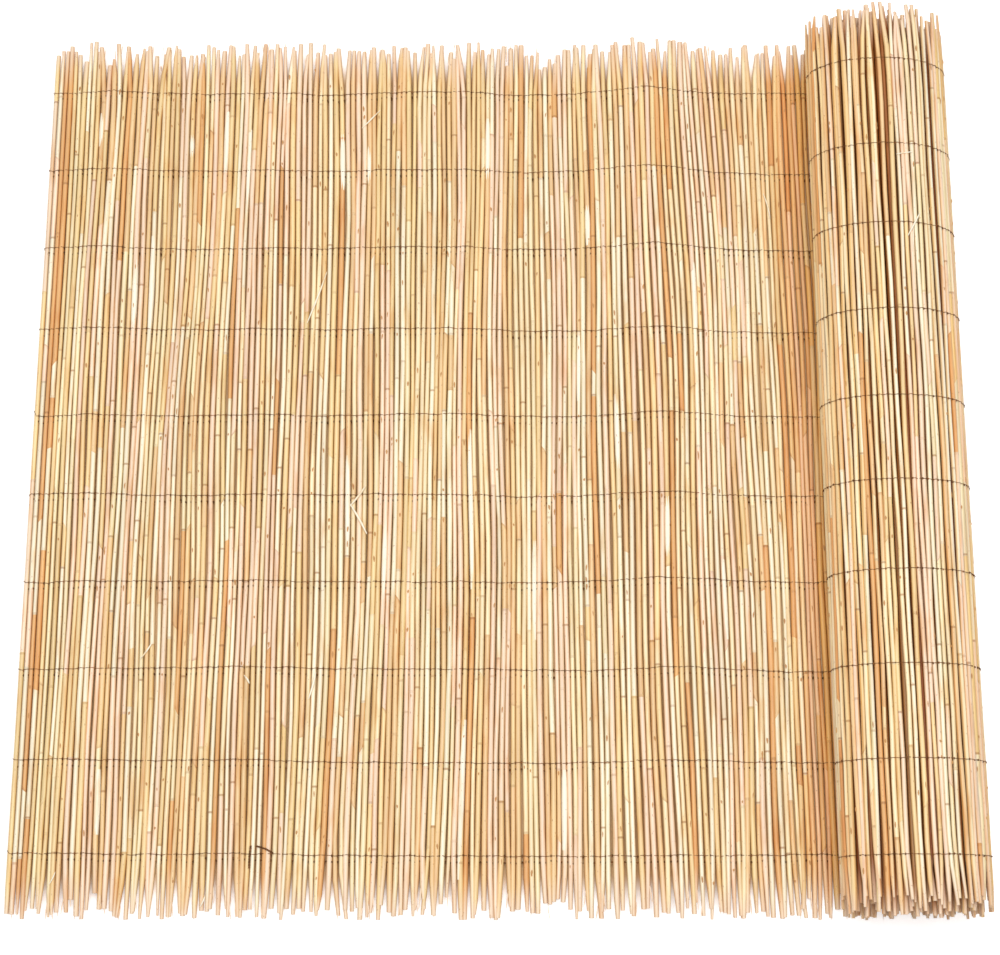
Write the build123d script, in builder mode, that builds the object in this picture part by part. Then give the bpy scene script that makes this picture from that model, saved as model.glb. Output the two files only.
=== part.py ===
from build123d import *
import math
import os
import random

# Reed screening, one metre high, partly unrolled: a flat run of reeds laid side by side and
# stitched by rows of wire, which passes under its own roll and climbs round it from the right.
# X runs from the free edge to the roll, Y runs along the reeds, and Z is up from the floor.
# The origin is on the floor under the middle of the whole piece. Sizes are in millimetres.

os.makedirs("parts", exist_ok=True)
random.seed(11)

# Reeds, from the thickest down to a share of its diameter, with ends that don't line up: the
# length is the longest reed's, and either end falls short of it by up to the ragged end
reed_length = 1012.0
reed_diameter = 6.0
thinnest_share = 0.75
reed_gap = 0.5
ragged_end = 24.0
reed_sides = 8
reeds_per_bay = 28

# Stitching: a face wire and a back wire in each row, the back one set a little nearer, and all
# the rows a little beyond the middle of the reeds
wire_diameter = 0.8
wire_rows = 10
row_spacing = 97.2
row_shift = 4.0
back_wire_shift = 6.5
seat = 0.3
wire_sag = 0.3
longest_span = 60.0

# Flat run: its length from the free edge to the line where the roll meets the floor, and its
# ripples, each with its place from the free edge, its height and its reach to either side
flat_length = 950.0
ripples = ((65, 9, 45), (258, 7, 45), (385, 6, 45), (478, 8, 45), (702, 20, 52))

# Roll: sagged to an oval, with the hole left in its middle
roll_width = 157.6
roll_height = 111.4
bore_width = 48.0
bore_height = 20.0
flute_depth = 1.3
bends_per_turn = 24
end_groove_depth = 8.0

# What follows from those sizes. Each turn of the roll lies on the wires of the turn outside it
wire_seat = seat + wire_diameter
reed_bottom = wire_seat
face_wire_bottom = reed_bottom + reed_diameter + seat
turn_rise = reed_diameter + wire_seat + seat
outer_half_height = (roll_height + turn_rise / 2) / 2
turns = (outer_half_height - reed_diameter - bore_height / 2) / turn_rise + 0.5
turn_spread = (roll_width / 2 - reed_diameter - bore_width / 2) / (turns - 1)
outer_half_width = (roll_width + turn_spread) / 2
row_places = [(row - (wire_rows - 1) / 2) * row_spacing + row_shift for row in range(wire_rows)]


def roll_offset(turn, inset=0.0):
    """Point on the spiral from the roll's middle: turn 0 is underneath, crests have no inset."""
    angle = math.radians(360 * turn - 90)
    half_width = outer_half_width - turn_spread * turn - inset
    half_height = outer_half_height - turn_rise * turn - inset
    return (half_width * math.cos(angle), half_height * math.sin(angle))


# A wire's straight spans clear the crests between its bends, so its bends stand further out
span_clearance = (math.pi / bends_per_turn) ** 2 * outer_half_width / 2
right_reach = max(
    roll_offset(bend / bends_per_turn, -wire_seat - span_clearance)[0] for bend in range(bends_per_turn)
)

# The roll's middle and the free edge, with the whole piece centred on the origin
roll_x = (flat_length + wire_seat - right_reach) / 2
roll_z = reed_bottom + outer_half_height
free_edge = roll_x - flat_length


def lift(x):
    """Height of the mat's underside above the floor, raised where the mat ripples."""
    along = x - free_edge
    return sum(rise * math.exp(-(((along - place) / reach) ** 2)) for place, rise, reach in ripples)


def slope(x):
    """Angle of the rippled mat at x, in degrees."""
    step = 1.0
    return math.degrees(math.atan2(lift(x + step) - lift(x - step), 2 * step))


def wire_stops():
    """Where a wire bends, so that its straight spans follow the ripples within the sag."""
    end = roll_x - reed_gap
    stops = [free_edge - seat]
    x = stops[0]
    while x < end:
        x += 1.0
        span = x - stops[-1]
        sag = span * abs(math.radians(slope(x) - slope(stops[-1]))) / 8
        if sag > wire_sag or span > longest_span:
            stops.append(x)
    return stops + [end]


def mat_floor(x):
    """Height of the straight spans over the floor, which the reeds lie along."""
    for left, right in zip(stops, stops[1:]):
        if x <= right:
            return lift(left) + (lift(right) - lift(left)) * (x - left) / (right - left)
    return lift(x)


def roll_point(turn, inset=0.0):
    """Point on the spiral where the roll lies."""
    across, up = roll_offset(turn, inset)
    return (roll_x + across, roll_z + up)


def spiral(first, last, inset):
    """Points along the spiral, the same number in each turn."""
    bends = math.ceil(bends_per_turn * (last - first))
    return [roll_point(first + (last - first) * bend / bends, inset) for bend in range(bends + 1)]


def reed_width():
    """Diameter of the next reed."""
    return reed_diameter * random.uniform(thinnest_share, 1.0)


def lay_reeds():
    """The flat run's reeds, each as its x, diameter, near end and far end."""
    reeds = []
    width = reed_width()
    x = free_edge + width / 2
    while x + width / 2 + reed_gap < roll_x:
        near = -reed_length / 2 + random.uniform(0, ragged_end)
        far = reed_length / 2 - random.uniform(0, ragged_end)
        reeds.append((x, width, near, far))
        following = reed_width()
        x += ((width + following) / 2 + reed_gap) / math.cos(math.radians(slope(x)))
        width = following
    return reeds


def flat_wire(name, y, height, hooked):
    """One wire of the flat run, its underside at a height over the rippled floor line."""
    line = [(x, height + lift(x)) for x in stops]
    raised = [(x, z + wire_diameter) for x, z in line]
    hook = free_edge - wire_seat
    hooked_end = [(hook, raised[0][1]), (hook, wire_diameter), (stops[0], wire_diameter)]
    outline = line + raised[::-1] + (hooked_end if hooked else [])
    with BuildPart() as wire:
        with BuildSketch(Plane.XZ.offset(wire_diameter / 2 - y)):
            with BuildLine():
                Polyline(*outline, close=True)
            make_face()
        extrude(amount=-wire_diameter)
    wire.part.label = name
    export_step(wire.part, f"parts/{name}.step")


def roll_wire(name, y):
    """One back wire where it goes round the outer turn of the roll."""
    inner = spiral(0, 1, -seat - span_clearance)
    outer = spiral(0, 1, -wire_seat - span_clearance)
    for turn in (0, -1):
        inner[turn] = roll_point(abs(turn), -seat)
        outer[turn] = roll_point(abs(turn), -wire_seat)
    with BuildPart() as wire:
        with BuildSketch(Plane.XZ.offset(wire_diameter / 2 - y)):
            with BuildLine():
                Polyline(*inner, *outer[::-1], close=True)
            make_face()
        extrude(amount=-wire_diameter)
    wire.part.label = name
    export_step(wire.part, f"parts/{name}.step")


# Flat run of reeds, in bays
stops = wire_stops()
flat_reeds = lay_reeds()
for bay, first in enumerate(range(0, len(flat_reeds), reeds_per_bay), start=1):
    with BuildPart() as reeds:
        for x, width, near, far in flat_reeds[first : first + reeds_per_bay]:
            with BuildSketch(Plane.XZ.offset(-near)):
                with Locations(Location((x, mat_floor(x) + reed_bottom + width / 2), slope(x))):
                    RegularPolygon(width / 2, reed_sides, major_radius=False, rotation=180 / reed_sides)
            extrude(amount=near - far, clean=False)
    reeds.part.label = f"reeds_{bay:02d}"
    export_step(reeds.part, f"parts/{reeds.part.label}.step")

# Wires of each row: the face wire, the back wire, and the back wire's way round the roll
for row, y in enumerate(row_places, start=1):
    flat_wire(f"face_wire_{row:02d}", y, face_wire_bottom, hooked=True)
    flat_wire(f"back_wire_{row:02d}", y - back_wire_shift, 0.0, hooked=False)
    roll_wire(f"roll_wire_{row:02d}", y - back_wire_shift)

# Roll: fluted by the reeds of its outer turn, with its hole through and its turns on both ends
near_end = Plane.XZ.offset(reed_length / 2)
far_end = Plane.XZ.offset(-reed_length / 2)
with BuildPart() as roll:
    with BuildSketch(near_end):
        with BuildLine():
            crests = []
            turn = 0.0
            while turn < 1:
                turn_length = 2 * math.pi * math.hypot(*roll_offset(turn + 0.25))
                share = (reed_width() + reed_gap) / turn_length
                following = turn + share if turn + 1.5 * share < 1 else 1.0
                quarter = (following - turn) / 4
                crests += [roll_point(turn, flute_depth), roll_point(turn + quarter)]
                crests += [roll_point(following - quarter)]
                turn = following
            Polyline(*crests, roll_point(1, flute_depth), close=True)
        make_face()
        with BuildLine():
            Polyline(*spiral(turns - 1, turns, reed_diameter), roll_point(turns), close=True)
        make_face(mode=Mode.SUBTRACT)
    extrude(amount=-reed_length)
    into_hole = roll_point(turns - 1 + 1 / bends_per_turn, turn_rise)
    between_turns = spiral(0, turns - 1, reed_diameter) + [into_hole] + spiral(1, turns, 0.0)[::-1]
    between_turns += [(x - wire_diameter, z) for x, z in (between_turns[-1], between_turns[0])]
    for end, depth in ((near_end, -end_groove_depth), (far_end, end_groove_depth)):
        with BuildSketch(end):
            with BuildLine():
                Polyline(*between_turns, close=True)
            make_face()
        extrude(amount=depth, mode=Mode.SUBTRACT, clean=False)
roll.part.label = "rolled_screen"
export_step(roll.part, "parts/rolled_screen.step")
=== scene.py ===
import math
import random

import bmesh
import bpy
from mathutils import Matrix, Vector


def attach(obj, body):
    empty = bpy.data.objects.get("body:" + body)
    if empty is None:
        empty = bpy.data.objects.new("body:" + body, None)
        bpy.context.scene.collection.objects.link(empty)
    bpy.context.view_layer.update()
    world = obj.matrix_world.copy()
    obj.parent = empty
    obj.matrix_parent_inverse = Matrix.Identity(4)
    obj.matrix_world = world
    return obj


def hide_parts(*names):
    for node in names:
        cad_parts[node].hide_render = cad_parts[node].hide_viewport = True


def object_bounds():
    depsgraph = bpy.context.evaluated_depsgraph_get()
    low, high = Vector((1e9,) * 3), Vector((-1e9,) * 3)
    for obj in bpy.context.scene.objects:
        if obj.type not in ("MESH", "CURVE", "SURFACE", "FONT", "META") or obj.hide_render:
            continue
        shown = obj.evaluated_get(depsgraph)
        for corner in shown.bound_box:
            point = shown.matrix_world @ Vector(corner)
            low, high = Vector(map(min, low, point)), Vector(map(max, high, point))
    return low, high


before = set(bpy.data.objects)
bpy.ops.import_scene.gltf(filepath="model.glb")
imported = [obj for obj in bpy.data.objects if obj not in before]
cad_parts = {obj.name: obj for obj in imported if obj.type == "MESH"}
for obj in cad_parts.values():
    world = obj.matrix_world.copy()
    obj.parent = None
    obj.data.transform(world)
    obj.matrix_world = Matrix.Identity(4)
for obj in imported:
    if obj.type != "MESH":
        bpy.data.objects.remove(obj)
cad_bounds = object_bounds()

# Reed screening, partly unrolled: the looks of its reeds and its stitching wires. Every size is
# in metres, in the frame of the packed model: X from the free edge to the roll, Y along the
# reeds, Z up from the floor.

bl_info = {
    "name": "Reed Screening",
    "version": (1, 0, 0),
    "blender": (4, 5, 0),
    "location": "3D View > Sidebar > Reeds",
    "description": "Dresses a partly unrolled reed screen with its reeds, wires and loose straws",
    "category": "Add Mesh",
}

MM = 0.001

# Where the reeds of the flat run lean together: X, Y, reach in X and reach in Y in millimetres, and
# degrees to the right at the far end
LEANINGS = (
    (230, 320, 110, 150, -2.2),
    (-350, 140, 70, 90, 1.5),
    (-110, -330, 120, 150, 1.6),
    (160, -330, 70, 130, -1.6),
    (300, -110, 60, 110, -1.2),
    (-150, 380, 70, 110, -1.5),
    (-60, 250, 50, 80, 1.4),
    (10, -50, 50, 80, -1.5),
    (-300, -60, 60, 70, -1.1),
)

# X of the first place where a row's bend is given, and from place to place, in millimetres
BENDS_FROM = -480
BENDS_STEP = 100

# How many millimetres nearer than its even place each row lies there, the nearest row first
ROW_BENDS = (
    (3, 4, 3, 5, 6, 6, 6, 6, 4),
    (1, 2, 1, 4, 5, 5, 4, 3, 4),
    (1, -1, -2, 0, 1, 1, 2, 0, 3),
    (2, 0, 0, 1, 2, 2, 0, -1, 1),
    (-1, 0, 0, 0, 0, 2, 0, 0, 1),
    (6, 5, 5, 6, 4, 6, 6, 5, 6),
    (0, 0, 1, 1, 0, 2, 2, 3, 4),
    (-1, 0, 1, 0, -1, 1, -1, 0, 2),
    (1, 0, 2, 2, 1, 3, 0, 2, 5),
    (1, 0, 2, 3, 0, 3, 0, 1, 0),
)

# Sheaths bleached white on reeds of the flat run: X, near end and far end in millimetres
WHITE_SHEATHS = (
    (-26, -152, 30),
    (-165, -101, 1),
    (45, -207, -96),
    (-31, -464, -295),
    (-419, -417, -348),
    (-393, 148, 263),
    (-8, 331, 407),
    (-411, 148, 233),
    (-127, -163, -73),
    (223, 148, 227),
    (188, -118, -50),
    (-283, 306, 394),
    (97, 65, 148),
    (136, -16, 71),
    (248, -207, -118),
    (71, -433, -348),
    (-354, 359, 392),
    (-456, 371, 413),
    (-148, 326, 373),
    (-180, 319, 389),
    (-311, 341, 418),
    (105, 251, 300),
)

# Bits of straw that lie on the flat run: both ends as X and Y, and the thickness, in millimetres
STRAWS = (
    (-212, 156, -191, 218, 2.1),
    (-142, -35, -159, -58, 2.6),
    (-159, -56, -140, -90, 2.6),
    (-384, -228, -372, -210, 2.0),
    (-200, -272, -193, -243, 2.4),
    (-270, -247, -264, -256, 2.2),
    (-154, 395, -133, 417, 1.7),
    (-309, -492, -304, -480, 1.6),
    (-468, -469, -462, -456, 1.4),
    (318, 285, 311, 315, 1.6),
)

# Bits of straw on the roll: both ends as turn and Y, and the thickness, in millimetres but for turns
ROLL_STRAWS = (
    (0.478, 318, 0.440, 322, 1.6),
    (0.462, 222, 0.430, 250, 2.0),
    (0.452, 205, 0.448, 232, 1.4),
)

# The splice in the nearest face wire: its twisted ends as X and Y in millimetres
SPLICES = (
    ((-257, -429), (-258, -440), (-258, -452)),
    ((-251, -429), (-241, -432), (-234, -436)),
)


# Settings that a user would change


def length(name, description, millimetres):
    """A length property, with its default given in millimetres."""
    return bpy.props.FloatProperty(
        name=name,
        description=description,
        default=millimetres * MM,
        min=0.0,
        precision=5,
        subtype="DISTANCE",
        unit="LENGTH",
    )


def share(name, description, default):
    """A property from 0 to 1."""
    return bpy.props.FloatProperty(
        name=name, description=description, default=default, min=0.0, max=1.0, subtype="FACTOR"
    )


def colour(name, description, default):
    """A colour property, in linear light."""
    return bpy.props.FloatVectorProperty(
        name=name, description=description, default=default, size=3, subtype="COLOR", min=0, max=1
    )


def count(name, description, default, least=1):
    """A whole number of like things."""
    return bpy.props.IntProperty(name=name, description=description, default=default, min=least)


def amount(name, description, default, unit="NONE"):
    """A number that isn't a length."""
    return bpy.props.FloatProperty(
        name=name, description=description, default=default, min=0.0, unit=unit
    )


class ReedSettings(bpy.types.PropertyGroup):
    """The make and the colours of one dried reed."""

    sides: count("Sides", "Faces round a reed", 8, 5)
    shortest_joint: length("Shortest joint", "Least distance between two nodes", 150)
    longest_joint: length("Longest joint", "Greatest distance between two nodes", 310)
    node_ring: length("Node ring", "Length of the swelling at a node", 3.0)
    kink: length("Kink", "Longest straight stretch of a reed", 60)
    taper: share("Taper", "Share of its diameter that a reed loses from butt to tip", 0.06)
    bare: share("Bare stem", "Diameter of the bare stem as a share of its sheath's", 0.93)
    bore: share("Bore", "Diameter of the hollow as a share of the reed's", 0.6)
    cup: length("Hollow depth", "How deep the hollow of a cut end is", 5)
    cream: colour("Cream", "Bleached stem", (0.93, 0.84, 0.65))
    pale: colour("Pale straw", "Most of the bare stems", (0.91, 0.76, 0.50))
    gold: colour("Golden straw", "Stems and sheaths that kept their colour", (0.85, 0.63, 0.34))
    tan: colour("Tan", "Leaf sheaths", (0.82, 0.56, 0.31))
    flesh: colour("Pinkish tan", "Dull sheaths and the reeds' ends", (0.91, 0.69, 0.53))
    rust: colour("Orange brown", "Stained sheaths", (0.74, 0.40, 0.17))
    node: colour("Node", "Ring at a node", (0.34, 0.15, 0.05))
    torn: colour("Torn sheath", "Scraps of sheath at the nodes", (0.50, 0.25, 0.09))
    pith: colour("Pith", "Inside of a cut end", (0.16, 0.08, 0.03))
    white: colour("White", "Sheaths bleached nearly white", (0.95, 0.87, 0.70))
    # Painted shade: flank and olive flank darken a reed's sides where it meets its neighbours; the
    # olive is a tint of that painted shade, not the colour of reeds cut green
    flank_shade: colour("Flank", "What is left of a colour between two reeds", (0.73, 0.49, 0.22))
    olive_flank_shade: colour("Olive flank", "The same on reeds that were cut green", (0.73, 0.60, 0.30))
    # Painted shade: the roll's shade on the flat run beside it, not less bleached reeds
    roll_side_shade: colour("Fresh", "What is left of a colour on less bleached reeds", (0.92, 0.56, 0.20))
    # Painted shade: the turns inside the roll, darkened as if in the roll's shade
    roll_inside_shade: colour("Covered", "What is left of a colour inside the roll", (0.40, 0.19, 0.07))


class ScreenSettings(bpy.types.PropertyGroup):
    """How the flat run lies."""

    bays: count("Bays", "Groups of reeds in the flat run", 6)
    drift: length("Drift", "How far neighbouring reeds waver to one side together", 1.2)
    stray: length("Stray", "How far one reed wanders by itself", 0.6)
    flare: length("Flare", "How far a reed's end beyond the last wire strays", 3.6)
    scraps: count("Scraps", "Bits of torn sheath on the flat run", 420, 0)
    wired_reach: length("Wired reach", "From the middle to the last wire on either side", 435)


class RollSettings(bpy.types.PropertyGroup):
    """The spiral of the roll, measured on the outside of its reeds."""

    middle_x: length("Middle X", "Where the roll's middle is along the mat", 434.0494)
    middle_z: length("Middle Z", "Height of the roll's middle", 58.65)
    half_width: length("Half width", "Half the width at the start of the outer turn", 83.5704)
    half_height: length("Half height", "Half the height at the start of the outer turn", 57.55)
    turn_spread: length("Turn spread", "Half width lost with each turn", 9.5408)
    turn_rise: length("Turn rise", "Half height lost with each turn", 7.4)
    turns: amount("Turns", "Turns in the roll", 6.115)
    thickest: length("Thickest reed", "Diameter of the thickest reed", 6.0)
    thinnest: length("Thinnest reed", "Diameter of the thinnest reed", 4.5)
    gap: length("Gap", "Room left between two reeds", 0.5)
    reed_length: length("Reed length", "From the nearest end to the farthest", 1012)
    ragged: length("Ragged end", "How far reed ends fall short of each other", 24)
    splay: length("Splay", "How far one reed of the roll leans from its neighbours", 1.3)
    widest_gap: length("Widest gap", "Widest gap between two reeds of the roll", 2.6)


class WireSettings(bpy.types.PropertyGroup):
    """The stitching wires."""

    diameter: length("Wire", "Diameter of the face and back wires", 0.65)
    stitch: length("Stitch", "Diameter of the stitches over the face wire", 1.15)
    rows: count("Rows", "Rows of stitching", 10)
    spacing: length("Row spacing", "Distance from row to row", 97.2)
    row_shift: length("Row shift", "How far beyond the middle the rows lie", 4.0)
    back_shift: length("Back shift", "How much nearer the back wire runs than the face wire", 6.5)
    dip: length("Dip", "How far a wire sinks between two reeds", 1.5)
    wander: length("Wander", "How far a row strays to either side", 0.7)
    tie: length("Tie", "Diameter of the ties that rise from the back wire", 1.6)
    iron: colour("Iron", "Darkened wire", (0.130, 0.050, 0.015))
    oxide: colour("Oxide", "Rusty patches on the wire", (0.30, 0.12, 0.04))


class StageSettings(bpy.types.PropertyGroup):
    """Floor, lamp and camera."""

    floor: colour("Floor", "Plain pale floor", (0.94, 0.92, 0.92))
    shade: colour("Shade", "The floor in the warm shade under the screen", (0.80, 0.55, 0.30))
    lamp: amount("Lamp", "Power of the overhead lamp", 59.0, "POWER")
    fill: amount("Fill", "Strength of the light from all round", 0.5)
    glow: amount("Glow", "Whiteness of the floor round the screen", 0.45)
    lens: amount("Lens", "Focal length", 71.46, "CAMERA")


# Materials


class Value:
    """A socket of a material's node tree. Sums written with it add their Math nodes."""

    def __init__(self, finish, socket):
        self.finish = finish
        self.socket = socket

    def __add__(self, other):
        return self.finish.maths("ADD", self, other)

    def __radd__(self, other):
        return self.finish.maths("ADD", other, self)

    def __sub__(self, other):
        return self.finish.maths("SUBTRACT", self, other)

    def __rsub__(self, other):
        return self.finish.maths("SUBTRACT", other, self)

    def __mul__(self, other):
        return self.finish.maths("MULTIPLY", self, other)

    def __rmul__(self, other):
        return self.finish.maths("MULTIPLY", other, self)


class Finish:
    """A material that is built one node at a time."""

    def __init__(self, name):
        self.material = bpy.data.materials.new(name)
        self.material.use_nodes = True
        self.tree = self.material.node_tree
        self.tree.nodes.clear()

    def node(self, kind, settings=None, inputs=None, output=0):
        """Adds a node, sets it up, joins its inputs, and returns the output asked for."""
        made = self.tree.nodes.new(kind)
        for name, value in (settings or {}).items():
            setattr(made, name, value)
        for name, value in (inputs or {}).items():
            if isinstance(value, Value):
                self.tree.links.new(value.socket, made.inputs[name])
            else:
                made.inputs[name].default_value = value
        return Value(self, made.outputs[output])

    def maths(self, operation, first, second):
        """One Math node on two values."""
        return self.node("ShaderNodeMath", {"operation": operation}, {0: first, 1: second})

    def blend(self, factor, first, second, way="MIX"):
        """Mixes two colours."""
        inputs = {0: factor, 6: first, 7: second}
        return self.node("ShaderNodeMix", {"data_type": "RGBA", "blend_type": way}, inputs, 2)

    def noise(self, place, scale, detail, roughness=0.5):
        """Noise from 0 to 1 on a place stretched by three scales, one for each axis."""
        stretched = self.node("ShaderNodeMapping", {}, {"Vector": place, "Scale": scale})
        inputs = {"Vector": stretched, "Scale": 1.0, "Detail": detail, "Roughness": roughness}
        return self.node("ShaderNodeTexNoise", {}, inputs)

    def rise(self, value, start, end):
        """A smooth step from 0 at the start to 1 at the end."""
        inputs = {"Value": value, "From Min": start, "From Max": end}
        return self.node("ShaderNodeMapRange", {"interpolation_type": "SMOOTHSTEP"}, inputs)

    def relief(self, height, strength, depth):
        """Fine bumps that follow a height."""
        inputs = {"Height": height, "Strength": strength, "Distance": depth}
        return self.node("ShaderNodeBump", {}, inputs)

    def close(self, shader):
        """Joins a shader to the output and returns the material."""
        output = self.tree.nodes.new("ShaderNodeOutputMaterial")
        self.tree.links.new(shader.socket, output.inputs["Surface"])
        return self.material


def solid(tone):
    """A colour as a socket takes it."""
    return (*tone, 1.0)


def reed_finish(settings):
    """Dried reed: the tone of each stretch, with streaks along it, dull patches and specks."""
    finish = Finish("dried reed")
    place = finish.node("ShaderNodeTexCoord", output="Object")
    # The tone attribute holds each stretch's colour with its painted shade already in it
    tone = finish.node("ShaderNodeAttribute", {"attribute_name": "tone"})
    streaks = finish.noise(place, (900, 14, 900), 3.0, 0.6)
    patches = finish.noise(place, (110, 16, 110), 3.0)
    specks = finish.noise(place, (800, 260, 800), 1.0)
    dull = finish.blend(0.75, tone, solid(settings.tan), "MULTIPLY")
    patched = finish.blend(finish.rise(patches, 0.52, 0.72) * 0.7, tone, dull)
    bleach = finish.rise(streaks, 0.62, 0.40) * 0.45
    streaked = finish.blend(bleach, patched, solid(settings.cream), "SOFT_LIGHT")
    lines = finish.rise(streaks, 0.56, 0.70) * 0.35
    lined = finish.blend(lines, streaked, solid(settings.rust))
    dots = finish.rise(specks, 0.70, 0.76) * 0.6
    surface = {
        "Base Color": finish.blend(dots, lined, solid(settings.node)),
        "Roughness": streaks * 0.25 + 0.34,
        "Normal": finish.relief(streaks, 0.25, 0.3 * MM),
        "Specular IOR Level": 0.45,
    }
    return finish.close(finish.node("ShaderNodeBsdfPrincipled", {}, surface))


def wire_finish(settings):
    """Iron wire darkened by weather, with rusty patches."""
    finish = Finish("darkened wire")
    place = finish.node("ShaderNodeTexCoord", output="Object")
    patches = finish.noise(place, (260, 260, 260), 3.0)
    grain = finish.noise(place, (2500, 2500, 2500), 2.0)
    rusted = finish.rise(patches, 0.45, 0.65)
    surface = {
        "Base Color": finish.blend(rusted, solid(settings.iron), solid(settings.oxide)),
        "Metallic": 0.25 - rusted * 0.2,
        "Roughness": rusted * 0.25 + 0.6,
        "Specular IOR Level": 0.2,
        "Normal": finish.relief(grain, 0.3, 0.1 * MM),
    }
    return finish.close(finish.node("ShaderNodeBsdfPrincipled", {}, surface))


# From where to where the shade gives way to pale floor, across the reeds and along them
SHADE_ACROSS = (0.500, 0.530)
SHADE_ALONG = (0.455, 0.500)


def floor_finish(settings):
    """Pale floor, white to the camera around the screen and warm in the shade under it."""
    finish = Finish("pale floor")
    place = finish.node("ShaderNodeTexCoord", output="Object")
    beyond = []
    for axis, (start, end) in (("X", SHADE_ACROSS), ("Y", SHADE_ALONG)):
        from_middle = finish.node("ShaderNodeSeparateXYZ", {}, {0: place}, axis)
        beyond.append(finish.rise(finish.maths("ABSOLUTE", from_middle, 0.0), start, end))
    clear = finish.maths("MAXIMUM", *beyond)
    rays = ("Is Camera Ray", "Is Glossy Ray", "Is Transmission Ray")
    seen, mirrored, through = (finish.node("ShaderNodeLightPath", output=ray) for ray in rays)
    tone = finish.blend(clear, solid(settings.shade), solid(settings.floor))
    plain = finish.node("ShaderNodeBsdfPrincipled", {}, {"Base Color": tone, "Roughness": 0.9})
    glow = {
        "Base Color": solid(settings.floor),
        "Roughness": 0.9,
        "Emission Color": (1.0, 1.0, 1.0, 1.0),
        "Emission Strength": settings.glow,
    }
    bright = finish.node("ShaderNodeBsdfPrincipled", {}, glow)
    factor = (seen + mirrored + through) * clear
    return finish.close(finish.node("ShaderNodeMixShader", {}, {0: factor, 1: plain, 2: bright}))


# Finished pieces


def shown(name, data):
    """Adds an object to the scene."""
    made = bpy.data.objects.new(name, data)
    bpy.context.scene.collection.objects.link(made)
    return made


def finished(name, mesh, material, slot, *nodes):
    """Shows a mesh as a piece of the screen, in place of the CAD nodes it stands for."""
    mesh.materials.append(material)
    piece = shown(name, mesh)
    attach(piece, "root")
    if nodes:
        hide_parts(*nodes)


# Reeds

# How often a stem and a sheath have each of their tones, in the order that reed_rings names them,
# and how often the painted shade on a reed's flanks is straw brown or olive
STEM_CHANCES = (40, 32, 13, 15)
SHEATH_CHANCES = (25, 28, 22, 13, 12)
FLANK_SHADE_CHANCES = (65, 35)

# What a cut end may keep of a reed's width, how far from it the width is full, and the room that
# a tip keeps free of nodes, in millimetres
END_WIDTHS = (0.95, 0.85, 0.75, 0.55)
FULL_WIDTH_FROM = (15, 55)
LAST_NODE = 60

# How much thicker than its reed a node is, and how uneven the stretch between two nodes is
NODE_SWELL = 1.1
UNEVENNESS = 0.05

# How often a joint keeps its sheath, how often that is torn off on the way, and the torn edge in
# millimetres: how far it slants to either side, its worn strip, and the step down to the stem
SHEATHED = 0.55
TORN = 0.75
TORN_SLANT = 5
WORN_STRIP = 4
TORN_STEP = 0.3

# How far from its ends a reed's painted shade, beside and inside the roll, reaches full depth, in mm
FULL_SHADE_FROM_ENDS = 30


def reed_rings(settings, extent, radius, plain):
    """Rings from butt to tip, as place, radius and slant, and the end tones of each stretch."""
    stems = (settings.cream, settings.pale, settings.gold, settings.flesh)
    sheaths = (settings.tan, settings.flesh, settings.gold, settings.pale, settings.rust)
    stem = random.choices(stems, STEM_CHANCES)[0]
    sheath = random.choices(sheaths, SHEATH_CHANCES)[0]
    pith, ends, dark = Vector(settings.pith), Vector(settings.flesh) * 0.9, Vector(settings.node)
    butt, tip = (random.choice(END_WIDTHS) for _ in range(2))
    bore = radius * butt * settings.bore
    rings = [(settings.cup, 0.0, 0.0), (settings.cup, bore, 0.0)]
    rings += [(0.0, bore, 0.0), (0.0, radius * butt, 0.0)]
    tones = [(pith, pith), (pith, pith), (ends, ends)]

    def stretch(place, width, start, end, slant=0.0):
        """Goes on to a place, with uneven rings on the way where it is far."""
        last, tone = rings[-1][0], start
        steps = 1 if plain else math.ceil((place - last) / settings.kink)
        for step in range(1, steps + 1):
            way = step / steps
            at = last + (place - last) * way
            uneven = random.uniform(-UNEVENNESS, UNEVENNESS) if step < steps else 0.0
            thick = radius * width * (1 - settings.taper * at / extent) * (1 + uneven)
            rings.append((at, thick, slant if step == steps else 0.0))
            following = start.lerp(end, way) * (1 + 1.4 * uneven)
            tones.append((tone, following))
            tone = following

    width, tone = 1.0, Vector(sheath)
    stretch(random.uniform(*FULL_WIDTH_FROM) * MM, width, ends, tone)
    if not plain:
        place = random.uniform(0.15, 1.0) * settings.longest_joint
        while place < extent - LAST_NODE * MM:
            ring = tone.lerp(dark, random.choice((0.2, 0.45, 0.8)))
            stretch(place, width, tone, tone * 0.95)
            stretch(place + settings.node_ring / 2, width * NODE_SWELL, tone * 0.85, ring)
            stretch(place + settings.node_ring, width, ring, tone * 0.8)
            joint = random.uniform(settings.shortest_joint, settings.longest_joint)
            if random.random() < SHEATHED:
                width, tone = 1.0, Vector(sheath) * random.uniform(0.9, 1.06)
                torn = place + joint * random.uniform(0.2, 0.9)
                if torn < extent - LAST_NODE * MM and random.random() < TORN:
                    slant = random.uniform(-TORN_SLANT, TORN_SLANT) * MM
                    worn = tone.lerp(dark, random.uniform(0.0, 0.6))
                    stretch(torn - WORN_STRIP * MM, width, tone, tone, slant)
                    stretch(torn, width, tone, worn, slant)
                    width, tone = settings.bare, Vector(stem) * random.uniform(0.94, 1.04)
                    stretch(torn + TORN_STEP * MM, width, tone, tone, slant)
            else:
                width, tone = settings.bare, Vector(stem) * random.uniform(0.92, 1.04)
            place += joint
    stretch(extent - random.uniform(*FULL_WIDTH_FROM) * MM, width, tone, tone)
    end = radius * width * (1 - settings.taper) * tip
    bore = end * settings.bore
    rings += [(extent, end, 0.0), (extent, bore, 0.0)]
    rings += [(extent - settings.cup, bore, 0.0), (extent - settings.cup, 0.0, 0.0)]
    tones += [(tone, ends), (ends, ends), (pith, pith), (pith, pith)]
    return rings, tones


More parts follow.
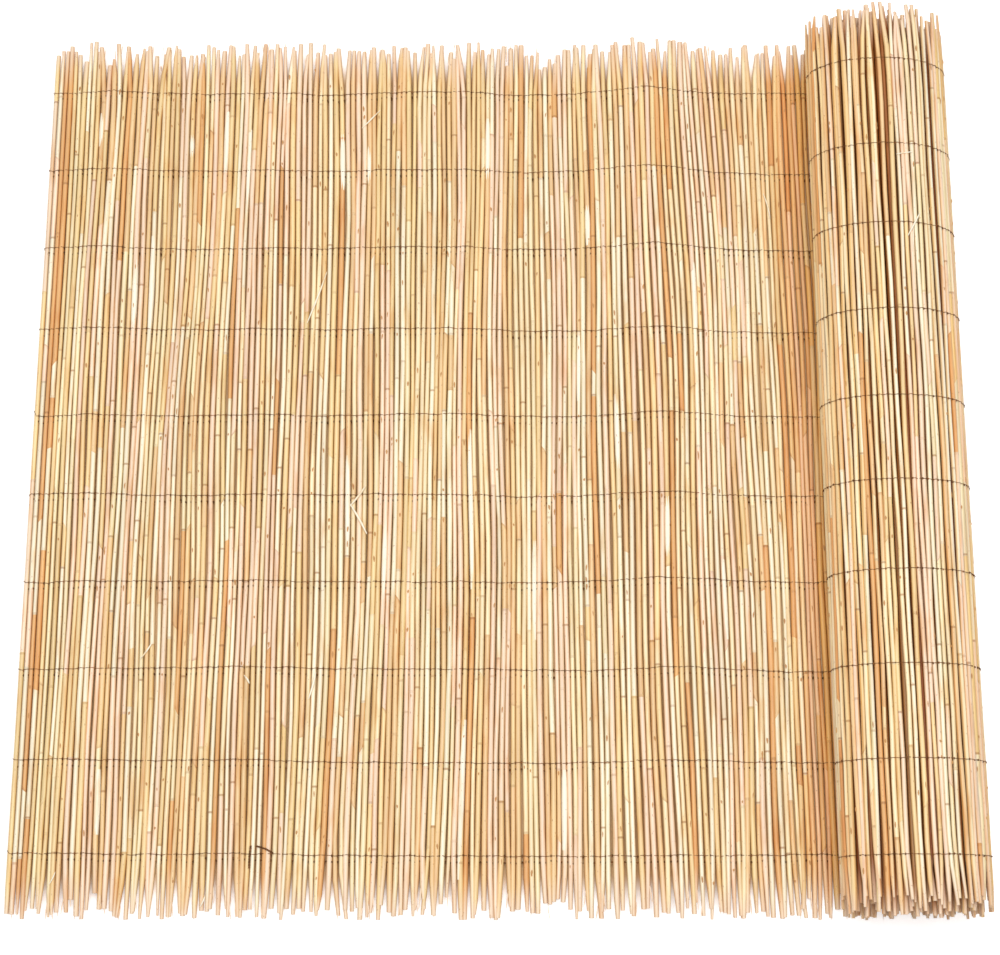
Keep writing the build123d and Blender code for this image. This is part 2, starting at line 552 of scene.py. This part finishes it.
def turned_reed(settings, rings):
    """A reed turned from its rings along Y, and the layer that numbers them."""
    reed = bmesh.new()
    ring_of = reed.verts.layers.int.new("ring")
    line = []
    for index, (place, width, _) in enumerate(rings):
        line.append(reed.verts.new((width, place, 0.0)))
        line[-1][ring_of] = index
    edges = [reed.edges.new(pair) for pair in zip(line, line[1:])]
    bmesh.ops.spin(
        reed,
        geom=line + edges,
        cent=(0.0, 0.0, 0.0),
        axis=(0.0, 1.0, 0.0),
        angle=math.tau,
        steps=settings.sides,
        use_merge=True,
    )
    bmesh.ops.remove_doubles(reed, verts=reed.verts, dist=1e-6)
    bmesh.ops.recalc_face_normals(reed, faces=reed.faces)
    for edge in reed.edges:
        edge.smooth = edge.verts[0][ring_of] != edge.verts[1][ring_of]
    return reed, ring_of


def colour_reed(reed, ring_of, settings, rings, tones, outward, kept):
    """Gives a reed the tones of its stretches, with painted shade on its flanks and by the roll."""
    tone_of = reed.loops.layers.float_color.new("tone")
    sky = Vector((math.sin(outward), math.cos(outward)))
    flank_shade = Vector(random.choices((settings.flank_shade, settings.olive_flank_shade), FLANK_SHADE_CHANCES)[0])
    extent = rings[-3][0]
    for face in reed.faces:
        face.smooth = True
        stretch = min(vert[ring_of] for vert in face.verts)
        for loop in face.loops:
            across = Vector((loop.vert.co.x, loop.vert.co.z))
            # Painted shade: the flanks, turned away from the outward side, are darkened
            shaded = 1 - abs(across.normalized().dot(sky))
            tone = tones[stretch][loop.vert[ring_of] - stretch]
            place = rings[loop.vert[ring_of]][0]
            inside = min(1.0, min(place, extent - place) / (FULL_SHADE_FROM_ENDS * MM))
            # Painted shade: kept darkens reeds beside and inside the roll, fading out towards their
            # ends
            lost = [(1 - inside * (1 - k)) * (1 - shaded * (1 - f)) for k, f in zip(kept, flank_shade)]
            loop[tone_of] = (*(c * left for c, left in zip(tone, lost)), 1.0)


def add_reed(
    piece, settings, near, far, radius, centre, outward=0.0, kept=(1.0, 1.0, 1.0), plain=False
):
    """Turns one reed and bends it along its centre line, which gives X and Z for a Y.

    Outward is the angle from straight up of the side that faces out, which stays light while painted
    shade darkens the flanks, and kept is what the painted shade by the roll leaves of each colour.
    """
    rings, tones = reed_rings(settings, far - near, radius, plain)
    reed, ring_of = turned_reed(settings, rings)
    colour_reed(reed, ring_of, settings, rings, tones, outward, kept)
    for vert in reed.verts:
        vert.co.y += rings[vert[ring_of]][2] * vert.co.x / radius
    reed.verts.layers.int.remove(ring_of)
    placed = Matrix.Translation((0.0, near, 0.0))
    if random.random() < 0.5:
        placed = Matrix.Translation((0.0, far, 0.0)) @ Matrix.Rotation(math.pi, 4, "Z")
    bmesh.ops.transform(reed, matrix=placed, verts=reed.verts)
    for vert in reed.verts:
        x, z = centre(vert.co.y)
        vert.co.x += x
        vert.co.z += z
    mesh = bpy.data.meshes.new("reed")
    reed.to_mesh(mesh)
    reed.free()
    piece.from_mesh(mesh)
    bpy.data.meshes.remove(mesh)


def reed_piece():
    """An empty mesh that reeds are added to."""
    piece = bmesh.new()
    piece.loops.layers.float_color.new("tone")
    return piece


def close_piece(piece, name, material, *nodes):
    """Makes the object of a mesh of reeds."""
    mesh = bpy.data.meshes.new(name)
    piece.to_mesh(mesh)
    piece.free()
    finished(name, mesh, material, "reed", *nodes)


# Flat run

# How long the waves are that all the reeds share, across the reeds and along them, in millimetres
WAVE_ACROSS = 150
WAVE_ALONG = 520

# Half the area under a bell curve of height 1 and reach 1
HALF_BELL = 0.886

# The waves of a single reed: the least and the greatest length of each, in metres
OWN_WAVES = ((0.5, 0.9), (0.15, 0.4))

# How far the reeds stick out beyond the last wire, in millimetres
LOOSE_END = 63

# How far from the free edge the wires hold the reeds straighter, and the least distance from that
# edge to the middle of a reed, in millimetres
HELD_EDGE = 60
EDGE_ROOM = 3.5

# The longest reeds' reach in millimetres, what each end keeps of the solids' raggedness, how many
# reeds are short, and by how many millimetres at most
LONGEST_REACH = 505
NEAR_RAGGED = 0.5
FAR_RAGGED = 0.7
SHORT_REEDS = 0.16
NEAR_SHORTFALL = 18
FAR_SHORTFALL = 28

# From where the reeds beside the roll take its painted shade, and over what distance, in millimetres
ROLL_SHADE_FROM = 315
ROLL_SHADE_OVER = 60


def flat_reeds(node):
    """The reeds of a CAD node, as X and Z of the middle, radius, near end and far end."""
    source = bmesh.new()
    source.from_mesh(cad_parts[node].data)
    bmesh.ops.remove_doubles(source, verts=source.verts, dist=1e-6)
    waiting = set(source.verts)
    reeds = []
    while waiting:
        found = [waiting.pop()]
        for vert in found:
            for edge in vert.link_edges:
                other = edge.other_vert(vert)
                if other in waiting:
                    waiting.remove(other)
                    found.append(other)
        low, high = (
            Vector([pick(vert.co[axis] for vert in found) for axis in range(3)])
            for pick in (min, max)
        )
        middle = (low + high) / 2
        corner = max(math.hypot(vert.co.x - middle.x, vert.co.z - middle.z) for vert in found)
        reeds.append((middle.x, middle.z, corner, low.y, high.y))
    source.free()
    return sorted(reeds)


def all_flat_reeds(settings):
    """The reeds of the flat run, bay by bay."""
    return [flat_reeds(f"reeds_{bay:02d}") for bay in range(1, settings.bays + 1)]


def lean(settings, along, y):
    """How far the reeds near a place lie to one side, much the same for neighbours."""
    way = along / (WAVE_ACROSS * MM) - y / (WAVE_ALONG * MM)
    side = settings.drift * math.sin(math.tau * way + 0.4)
    for x, middle, reach, span, degrees in LEANINGS:
        beside = math.exp(-(((along - x * MM) / (reach * MM)) ** 2))
        past = math.erf((y - middle * MM) / (span * MM)) * HALF_BELL
        side += math.radians(degrees) * beside * span * MM * past
    return side


def free_to_lean(along):
    """The share of its lean that a reed takes at a distance from the free edge."""
    return min(1.0, along / (HELD_EDGE * MM))


def wander(settings):
    """One reed's own stray from its neighbours, as a function of Y."""
    waves = [(random.uniform(*reach), random.uniform(0, math.tau)) for reach in OWN_WAVES]
    flares = [random.gauss(0, 0.6) * settings.flare for _ in range(2)]

    def stray(y):
        free = max(0.0, abs(y) - settings.wired_reach) / (LOOSE_END * MM)
        own = sum(math.sin(math.tau * y / wave + start) for wave, start in waves)
        return settings.stray * own / 1.4 + flares[y > 0] * free**1.5

    return stray


def cut_ends(near, far):
    """Where a reed ends, worked out from its solid: fairly even, with some reeds short."""
    near = NEAR_RAGGED * near - (1 - NEAR_RAGGED) * LONGEST_REACH * MM
    far = FAR_RAGGED * far + (1 - FAR_RAGGED) * LONGEST_REACH * MM
    if random.random() < SHORT_REEDS:
        near += random.uniform(0, NEAR_SHORTFALL) * MM
        far -= random.uniform(0, FAR_SHORTFALL) * MM
    return near, far


class REEDS_OT_flat_run(bpy.types.Operator):
    """Lay the reeds of the flat run, each tapered, jointed and partly sheathed"""

    bl_idname = "reeds.flat_run"
    bl_label = "Flat Run of Reeds"

    def execute(self, context):
        reeds, screen = context.scene.reed_settings, context.scene.screen_settings
        random.seed(5)
        material = reed_finish(reeds)
        first = cad_bounds[0][0]
        for bay, row in enumerate(all_flat_reeds(screen), start=1):
            piece = reed_piece()
            for x, z, radius, near, far in row:
                stray = wander(screen)
                loose = free_to_lean(x - first)
                upward = random.uniform(0.0, 0.5) * (3 * MM - radius)
                near, far = cut_ends(near, far)

                def centre(y, x=x, z=z, stray=stray, loose=loose, upward=upward):
                    side = loose * (lean(screen, x, y) + stray(y))
                    return x + max(side, first - x + EDGE_ROOM * MM), z + upward

                # Painted shade of the roll on the reeds beside it, deepening towards the roll
                by_roll = min(1.0, max(0.0, (x - ROLL_SHADE_FROM * MM) / (ROLL_SHADE_OVER * MM)))
                kept = Vector((1.0, 1.0, 1.0)).lerp(Vector(reeds.roll_side_shade), by_roll)
                add_reed(piece, reeds, near, far, radius, centre, kept=kept)
            close_piece(piece, f"flat_reeds_{bay:02d}", material, f"reeds_{bay:02d}")
        return {"FINISHED"}


# Roll

# Where the roll's first reed and the end of its outer turn are, in turns, and how many of its
# reeds have drawn apart
FIRST_REED = 0.004
OUTER_TURN = 1.02
DRAWN_APART = 0.25

# The roll's reeds lean as the flat run's do at a place that moves on with the turns, but only a
# share as far, and stray further
LEAN_FROM = -0.2
LEAN_PER_TURN = 0.43
LEAN_SHARE = 0.15
STRAY_SHARE = 1.4


def roll_point(roll, turn, inset=0.0):
    """X and Z on the spiral: turn 0 is underneath, and the spiral goes right, over and in."""
    angle = math.tau * turn - math.pi / 2
    half_width = roll.half_width - roll.turn_spread * turn - inset
    half_height = roll.half_height - roll.turn_rise * turn - inset
    x = roll.middle_x + half_width * math.cos(angle)
    return (x, roll.middle_z + half_height * math.sin(angle))


def turn_length(roll, turn):
    """Length of a whole turn at the rate that it has here."""
    x, z = roll_point(roll, turn + 0.25)
    return math.tau * math.hypot(x - roll.middle_x, z - roll.middle_z)


def rolled_reeds(roll):
    """Reeds along the spiral, as turn, radius and half their share of a turn, always the same."""
    chance = random.Random(8)
    reeds = []
    turn = FIRST_REED
    while turn < roll.turns:
        radius = chance.uniform(roll.thinnest, roll.thickest) / 2
        wide = chance.random() < DRAWN_APART
        gap = chance.uniform(0.3, 1.0) * roll.widest_gap if wide else roll.gap
        half = (radius + gap / 2) / turn_length(roll, turn)
        reeds.append((turn + half, radius, half))
        turn += 2 * half
    return reeds


class REEDS_OT_roll(bpy.types.Operator):
    """Roll up the rest of the screen: its outer turn, and the turns inside it"""

    bl_idname = "reeds.roll"
    bl_label = "Rolled Reeds"

    def execute(self, context):
        scene = context.scene
        reeds, screen, roll = scene.reed_settings, scene.screen_settings, scene.roll_settings
        material = bpy.data.materials["dried reed"]
        random.seed(8)
        outer, inner = reed_piece(), reed_piece()
        for turn, radius, _ in rolled_reeds(roll):
            near = -roll.reed_length / 2 + random.uniform(0.0, roll.ragged)
            far = roll.reed_length / 2 - random.uniform(0.0, roll.ragged)
            stray = wander(screen)
            pitch = turn_length(roll, turn)
            hidden = turn > OUTER_TURN
            tilt = random.gauss(0, 1) * roll.splay / roll.reed_length * 2

            def centre(y, turn=turn, radius=radius, stray=stray, pitch=pitch, tilt=tilt):
                leaning = lean(screen, turn * LEAN_PER_TURN + LEAN_FROM, y) * LEAN_SHARE
                side = leaning + STRAY_SHARE * stray(y) + tilt * y
                return roll_point(roll, turn + side / pitch, radius)

            outward = math.pi - math.tau * turn
            # Painted shade: the turns inside the roll are darkened
            piece, kept = (inner, reeds.roll_inside_shade) if hidden else (outer, (1.0, 1.0, 1.0))
            add_reed(piece, reeds, near, far, radius, centre, outward, kept, plain=hidden)
        close_piece(outer, "roll_outer_turn", material, "rolled_screen")
        close_piece(inner, "roll_inner_turns", material, "rolled_screen")
        return {"FINISHED"}


# Wires

# The share of the gaps between reeds that show a stitch, a tie, or a stitch on the roll
STITCHED = 0.75
TIED = 0.8
ROLL_STITCHED = 0.7

# A stitch over the face wire, from beyond it to nearer: along the reeds and up, in millimetres
STITCH_BEND = ((1.0, -1.0), (0.4, 0.0), (-0.5, 0.0), (-1.4, -2.0))

# How far a roll wire lies off the reeds, and where the flat run's rows go on to the roll, in
# millimetres
ROLL_WIRE_ROOM = 0.2
ROWS_MEET_ROLL = 320


def strand_mesh(name, strands):
    """A mesh of round strands, each a list of places with the thickness at each."""
    curve = bpy.data.curves.new(name, "CURVE")
    curve.dimensions = "3D"
    curve.bevel_depth = 0.5
    curve.bevel_resolution = 1
    curve.use_fill_caps = True
    for strand in strands:
        spline = curve.splines.new("POLY")
        spline.points.add(len(strand) - 1)
        for point, (place, thickness) in zip(spline.points, strand):
            point.co = (*place, 1.0)
            point.radius = thickness
    drawn = bpy.data.objects.new(name, curve)
    mesh = bpy.data.meshes.new_from_object(drawn)
    bpy.data.objects.remove(drawn)
    bpy.data.curves.remove(curve)
    return mesh


def wire_mesh(name, lines, diameter):
    """A mesh of round wires that follow lines of points."""
    return strand_mesh(name, [[(place, diameter) for place in line] for line in lines])


def row_wander(wires, row, x):
    """How far a row strays along the reeds at a place."""
    bends = ROW_BENDS[row - 1]
    place = min(max((x / MM - BENDS_FROM) / BENDS_STEP, 0.0), len(bends) - 1.001)
    first = int(place)
    bend = bends[first] + (bends[first + 1] - bends[first]) * (place - first)
    quick = math.sin(math.tau * x / 0.07 + row * 2.9) + math.sin(math.tau * x / 0.031 + row)
    return wires.wander * quick / 2 - bend * MM


def moved(screen, laid, x, y):
    """X of a reed of the flat run where it has leaned to one side."""
    return x + lean(screen, x, y) * free_to_lean(x - laid[0][0])


def face_line(screen, wires, laid, row, y):
    """The face wire of a row: down round the first reed, over each reed and down between them."""
    half = wires.diameter / 2
    x, z, radius = laid[0][:3]
    edge = x - radius - half
    line = [(edge, y, half), (edge, y, z), (edge + half, y, z + radius)]
    for (x, z, radius, _, _), (next_x, next_z, next_radius, _, _) in zip(laid, laid[1:]):
        along = y + row_wander(wires, row, x)
        top = z + radius + half
        low = min(top, next_z + next_radius + half) - wires.dip * random.uniform(0.5, 1.2)
        over, between = moved(screen, laid, x, y), moved(screen, laid, (x + next_x) / 2, y)
        line.append((over, along + random.gauss(0, 0.2) * MM, top))
        line.append((between, along + random.gauss(0, 0.3) * MM, low))
    return line


def back_line(screen, wires, laid, row, y):
    """The back wire of a row, straight from reed to reed along their undersides."""
    line = []
    for x, z, radius, _, _ in laid:
        along = y - wires.back_shift + row_wander(wires, row, x)
        line.append((moved(screen, laid, x, y), along, z - radius - wires.diameter / 2))
    return line


def round_line(roll, wires, row, y):
    """The back wire of a row where it goes round the outer turn, over reeds and between them."""
    half = wires.diameter / 2
    along = y - wires.back_shift + row_wander(wires, row, ROWS_MEET_ROLL * MM)
    line = []
    for turn, _, share_of_turn in rolled_reeds(roll):
        if turn > 0.99:
            return line
        x, z = roll_point(roll, turn, -half - ROLL_WIRE_ROOM * MM)
        line.append((x, along + random.gauss(0, 0.25) * MM, z))
        depth = wires.dip * random.uniform(0.3, 1.1) - half
        x, z = roll_point(roll, turn + share_of_turn, depth)
        line.append((x, along + random.gauss(0, 0.35) * MM, z))


def flat_stitches(wires, face):
    """Stitches over the face wire in the gaps between the reeds."""
    stitches = []
    for x, y, z in face[4::2]:
        if random.random() < STITCHED:
            over = z + wires.diameter / 2
            stitches.append([(x, y + along * MM, over + up * MM) for along, up in STITCH_BEND])
    return stitches


def ties(face, back):
    """Ties that rise from the back wire in the gaps between the reeds."""
    made = []
    for (x, _, z), (_, y, foot) in zip(face[4::2], back):
        if random.random() < TIED:
            y += random.gauss(0, 0.7) * MM
            tie = [(x, y + 0.4 * MM, foot), (x, y + 0.6 * MM, z - 0.8 * MM)]
            made.append(tie + [(x, y - 0.6 * MM, z - 0.4 * MM)])
    return made


def roll_stitches(roll, wires, line):
    """Stitches over the wire round the roll, in the gaps between its reeds."""
    stitches = []
    for x, y, z in line[1::2]:
        if random.random() < ROLL_STITCHED:
            outward = Vector((x - roll.middle_x, 0.0, z - roll.middle_z)).normalized()
            place = Vector((x, y, z)) + outward * wires.diameter / 2
            side = Vector((0.0, 0.8 * MM, 0.0))
            sunk = outward * 1.0 * MM
            bend = (place + side - sunk, place + side / 3, place - side / 3, place - side - sunk)
            stitches.append(bend)
    return stitches


class REEDS_OT_wires(bpy.types.Operator):
    """Draw the face wires, the back wires, the wires round the roll and their stitches"""

    bl_idname = "reeds.wires"
    bl_label = "Stitching Wires"

    def execute(self, context):
        scene = context.scene
        screen, roll, wires = scene.screen_settings, scene.roll_settings, scene.wire_settings
        random.seed(21)
        material = wire_finish(wires)
        laid = [reed for bay in all_flat_reeds(screen) for reed in bay]
        rows = range(1, wires.rows + 1)
        faces, backs, rounds, stitches, tied = [], [], [], [], []
        for row in rows:
            y = (row - (wires.rows + 1) / 2) * wires.spacing + wires.row_shift
            faces.append(face_line(screen, wires, laid, row, y))
            backs.append(back_line(screen, wires, laid, row, y))
            rounds.append(round_line(roll, wires, row, y))
            stitches += flat_stitches(wires, faces[-1])
            tied += ties(faces[-1], backs[-1])
            stitches += roll_stitches(roll, wires, rounds[-1])
        for name, lines in (("face_wire", faces), ("back_wire", backs), ("roll_wire", rounds)):
            mesh = wire_mesh(f"{name}s", lines, wires.diameter)
            finished(f"{name}s", mesh, material, "wire", *[f"{name}_{row:02d}" for row in rows])
        finished("stitches", wire_mesh("stitches", stitches, wires.stitch), material, "wire")
        finished("ties", wire_mesh("ties", tied, wires.tie), material, "wire")
        return {"FINISHED"}


# Loose bits

# How far from the middle scraps are found, in metres, how many are on the roll and between which
# turns, and their length and width in millimetres
SCRAP_REACH = 0.47
ROLL_SCRAPS = 130
ROLL_SCRAP_TURNS = (0.08, 0.85)
SCRAP_LENGTH = (2.5, 7)
SCRAP_WIDTH = (1.0, 2.2)

# The reeds with frayed ends, and how many of their ends have a fibre
FRAYED_REEDS = 110
FRAYED = 0.6

# The splice: how often its two strands go round each other, and their points
SPLICE_TWISTS = 4
SPLICE_STEPS = 24


def metres(table):
    """The rows of a table that is in millimetres."""
    return [[value * MM for value in row] for row in table]


def ways(steps):
    """Shares of the way, from 0 to 1 in even steps."""
    return [step / steps for step in range(steps + 1)]


def tapered_mesh(name, lines, blunt):
    """A mesh of round strands, each a line of points and a thickness.

    Blunt is what is left of the thickness at their ends.
    """
    strands = []
    for line, thickness in lines:
        widths = [1 - (1 - blunt) * (2 * way - 1) ** 2 for way in ways(len(line) - 1)]
        strands.append([(place, thickness * width) for place, width in zip(line, widths)])
    return strand_mesh(name, strands)


def painted(mesh, tone):
    """Gives a mesh one reed tone all over."""
    tones = mesh.color_attributes.new("tone", "FLOAT_COLOR", "CORNER")
    tones.data.foreach_set("color", [*tone, 1.0] * len(tones.data))
    return mesh


def top_of(laid, x):
    """Height of the reeds' tops near a place on the flat run."""
    return max(z + radius for at, z, radius, _, _ in laid if abs(at - x) < 9 * MM)


def white_sheaths(screen, laid):
    """The bleached sheaths, each a little wider than its reed."""
    sheaths = []
    for x, near, far in metres(WHITE_SHEATHS):
        at, z, radius, _, _ = min(laid, key=lambda reed: abs(reed[0] - x))
        places = [near + (far - near) * way for way in ways(8)]
        line = [(moved(screen, laid, at, y), y, z + 0.3 * MM) for y in places]
        sheaths.append((line, 2 * radius + 0.6 * MM))
    return sheaths


def loose_straws(roll, laid):
    """Bits of straw, bowed over the flat run and lying along the roll."""
    straws = []
    for x, y, end_x, end_y, width in metres(STRAWS):
        line = []
        for way in ways(6):
            at = x + (end_x - x) * way
            bow = math.sin(math.pi * way) * 0.8 * MM
            height = top_of(laid, at) + width * 0.3 + bow
            line.append((at + bow, y + (end_y - y) * way, height))
        straws.append((line, width))
    for turn, y, end_turn, end_y, width in ROLL_STRAWS:
        line = []
        for way in ways(6):
            x, z = roll_point(roll, turn + (end_turn - turn) * way, -width * MM * 0.3)
            line.append((x, (y + (end_y - y) * way) * MM, z))
        straws.append((line, width * MM))
    return straws


def sheath_scraps(screen, roll, laid):
    """Torn bits of sheath on the reeds of the flat run and of the roll's outer turn."""
    scraps = []
    for _ in range(screen.scraps):
        x, z, radius, _, _ = random.choice(laid[2:])
        y = random.uniform(-SCRAP_REACH, SCRAP_REACH)
        side, extent = random.uniform(-1.0, 1.0) * MM, random.uniform(*SCRAP_LENGTH) * MM
        x = moved(screen, laid, x, y)
        height = z + radius - 0.2 * MM
        middle = (x + side * 0.4, y + extent * 0.6, height + 0.3 * MM)
        line = [(x, y, height), middle, (x + side, y + extent, height)]
        scraps.append((line, random.uniform(*SCRAP_WIDTH) * MM))
    first, last = ROLL_SCRAP_TURNS
    seen = [reed for reed in rolled_reeds(roll) if first < reed[0] < last]
    for turn, _, _ in random.sample(seen * 3, ROLL_SCRAPS):
        y = random.uniform(-SCRAP_REACH, SCRAP_REACH)
        extent, width = random.uniform(*SCRAP_LENGTH) * MM, random.uniform(*SCRAP_WIDTH) * MM
        x, z = roll_point(roll, turn, 0.1 * MM)
        scraps.append(([(x, y, z), (x, y + extent / 2, z), (x, y + extent, z)], width))
    return scraps


def frayed_fibres(screen, roll, laid):
    """Fibres that stick out of the cut ends of the flat run."""
    fibres = []
    reach = roll.reed_length / 2 - 1 * MM
    for x, z, radius, near, far in random.sample(laid, FRAYED_REEDS):
        for end, way in ((near, -1), (far, 1)):
            if random.random() < FRAYED:
                side = random.uniform(-2.5, 2.5) * MM
                tip = way * min(reach, way * end + random.uniform(2, 12) * MM)
                at = max(moved(screen, laid, x, end), laid[0][0] + 2 * MM)
                start = end - way * 12 * MM
                middle = (at + side * 0.4, (start + tip) / 2, z + radius * 0.7)
                line = [(at, start, z + radius * 0.5), middle, (at + side, tip, z)]
                fibres.append((line, random.uniform(0.9, 1.8) * MM))
    return fibres


def splice_strands(wires, laid):
    """The two strands of each end of the splice, twisted round each other."""
    strands = []
    for corners in SPLICES:
        path = [Vector((x, y, top_of(laid, x) + wires.diameter)) for x, y in metres(corners)]
        for phase in (0.0, math.pi):
            line = []
            for share_of_path in ways(SPLICE_STEPS):
                way = share_of_path * (len(path) - 1)
                first = min(int(way), len(path) - 2)
                place = path[first].lerp(path[first + 1], way - first)
                angle = phase + share_of_path * math.tau * SPLICE_TWISTS
                turn = Vector((math.cos(angle), math.cos(angle) * 0.3, math.sin(angle)))
                line.append(place + turn * wires.diameter * 0.9)
            strands.append(line)
    return strands


class REEDS_OT_loose_bits(bpy.types.Operator):
    """Scatter the bits of straw, the frayed fibres at the cut ends and the splice in a wire"""

    bl_idname = "reeds.loose_bits"
    bl_label = "Loose Bits"

    def execute(self, context):
        scene = context.scene
        reeds, wires = scene.reed_settings, scene.wire_settings
        screen, roll = scene.screen_settings, scene.roll_settings
        random.seed(34)
        material = bpy.data.materials["dried reed"]
        laid = [reed for bay in all_flat_reeds(screen) for reed in bay]
        for name, lines, blunt, tone in (
            ("white_sheaths", white_sheaths(screen, laid), 0.75, reeds.white),
            ("loose_straws", loose_straws(roll, laid), 0.4, reeds.white),
            ("sheath_scraps", sheath_scraps(screen, roll, laid), 0.4, reeds.torn),
            ("frayed_fibres", frayed_fibres(screen, roll, laid), 0.4, reeds.flesh),
        ):
            finished(name, painted(tapered_mesh(name, lines, blunt), tone), material, "reed")
        mesh = wire_mesh("wire_splice", splice_strands(wires, laid), wires.diameter * 2)
        finished("wire_splice", mesh, bpy.data.materials["darkened wire"], "wire")
        return {"FINISHED"}


# Stage


# The lamp, the floor's reach, and the camera, which looks as the photograph does
LAMP_PLACE = (0.05, 0.1, 2.6)
LAMP_WIDTH = 2.2
FLOOR_REACH = 12.0
CAMERA_PLACE = (0.0068, -0.583, 2.145)
CAMERA_TILT = 14.65
SENSOR_WIDTH = 36.0


def overhead_lamp(power):
    """A square soft lamp that faces the middle of the floor."""
    light = bpy.data.lights.new("overhead", "AREA")
    light.energy = power
    light.size = LAMP_WIDTH
    holder = shown("overhead", light)
    holder.location = LAMP_PLACE
    holder.rotation_euler = (-Vector(LAMP_PLACE)).to_track_quat("-Z", "Y").to_euler()


class REEDS_OT_stage(bpy.types.Operator):
    """Set the floor, the soft light and the camera"""

    bl_idname = "reeds.stage"
    bl_label = "Stage"

    def execute(self, context):
        scene, stage = context.scene, context.scene.stage_settings
        ground = bmesh.new()
        bmesh.ops.create_grid(ground, x_segments=1, y_segments=1, size=FLOOR_REACH)
        mesh = bpy.data.meshes.new("floor")
        ground.to_mesh(mesh)
        ground.free()
        mesh.materials.append(floor_finish(stage))
        floor = shown("floor", mesh)
        overhead_lamp(stage.lamp)
        world = bpy.data.worlds.new("studio")
        world.use_nodes = True
        sky = world.node_tree.nodes["Background"]
        sky.inputs["Color"].default_value = (1.0, 1.0, 1.0, 1.0)
        sky.inputs["Strength"].default_value = stage.fill
        scene.world = world
        scene.view_settings.view_transform = "Standard"
        camera = bpy.data.cameras.new("camera")
        camera.lens = stage.lens
        camera.sensor_fit = "HORIZONTAL"
        camera.sensor_width = SENSOR_WIDTH
        viewer = shown("camera", camera)
        viewer.location = CAMERA_PLACE
        viewer.rotation_euler = (math.radians(CAMERA_TILT), 0.0, 0.0)
        scene.camera = viewer
        return {"FINISHED"}


class REEDS_PT_panel(bpy.types.Panel):
    """Buttons and settings of the reed screen"""

    bl_label = "Reed Screening"
    bl_space_type = "VIEW_3D"
    bl_region_type = "UI"
    bl_category = "Reeds"

    def draw(self, context):
        for step in STEPS:
            self.layout.operator(step.bl_idname)
        for name, group in SETTINGS.items():
            box = self.layout.box()
            box.label(text=group.__doc__)
            for entry in group.__annotations__:
                box.prop(getattr(context.scene, name), entry)


SETTINGS = {
    "reed_settings": ReedSettings,
    "screen_settings": ScreenSettings,
    "roll_settings": RollSettings,
    "wire_settings": WireSettings,
    "stage_settings": StageSettings,
}
STEPS = (REEDS_OT_stage, REEDS_OT_flat_run, REEDS_OT_roll, REEDS_OT_wires, REEDS_OT_loose_bits)


def register():
    for listed in (*SETTINGS.values(), *STEPS, REEDS_PT_panel):
        bpy.utils.register_class(listed)
    for name, group in SETTINGS.items():
        setattr(bpy.types.Scene, name, bpy.props.PointerProperty(type=group))


def unregister():
    for name in SETTINGS:
        delattr(bpy.types.Scene, name)
    for listed in (REEDS_PT_panel, *STEPS, *SETTINGS.values()):
        bpy.utils.unregister_class(listed)


def main():
    """Builds the whole scene."""
    register()
    bpy.ops.reeds.stage()
    bpy.ops.reeds.flat_run()
    bpy.ops.reeds.roll()
    bpy.ops.reeds.wires()
    bpy.ops.reeds.loose_bits()


if __name__ == "__main__":
    main()
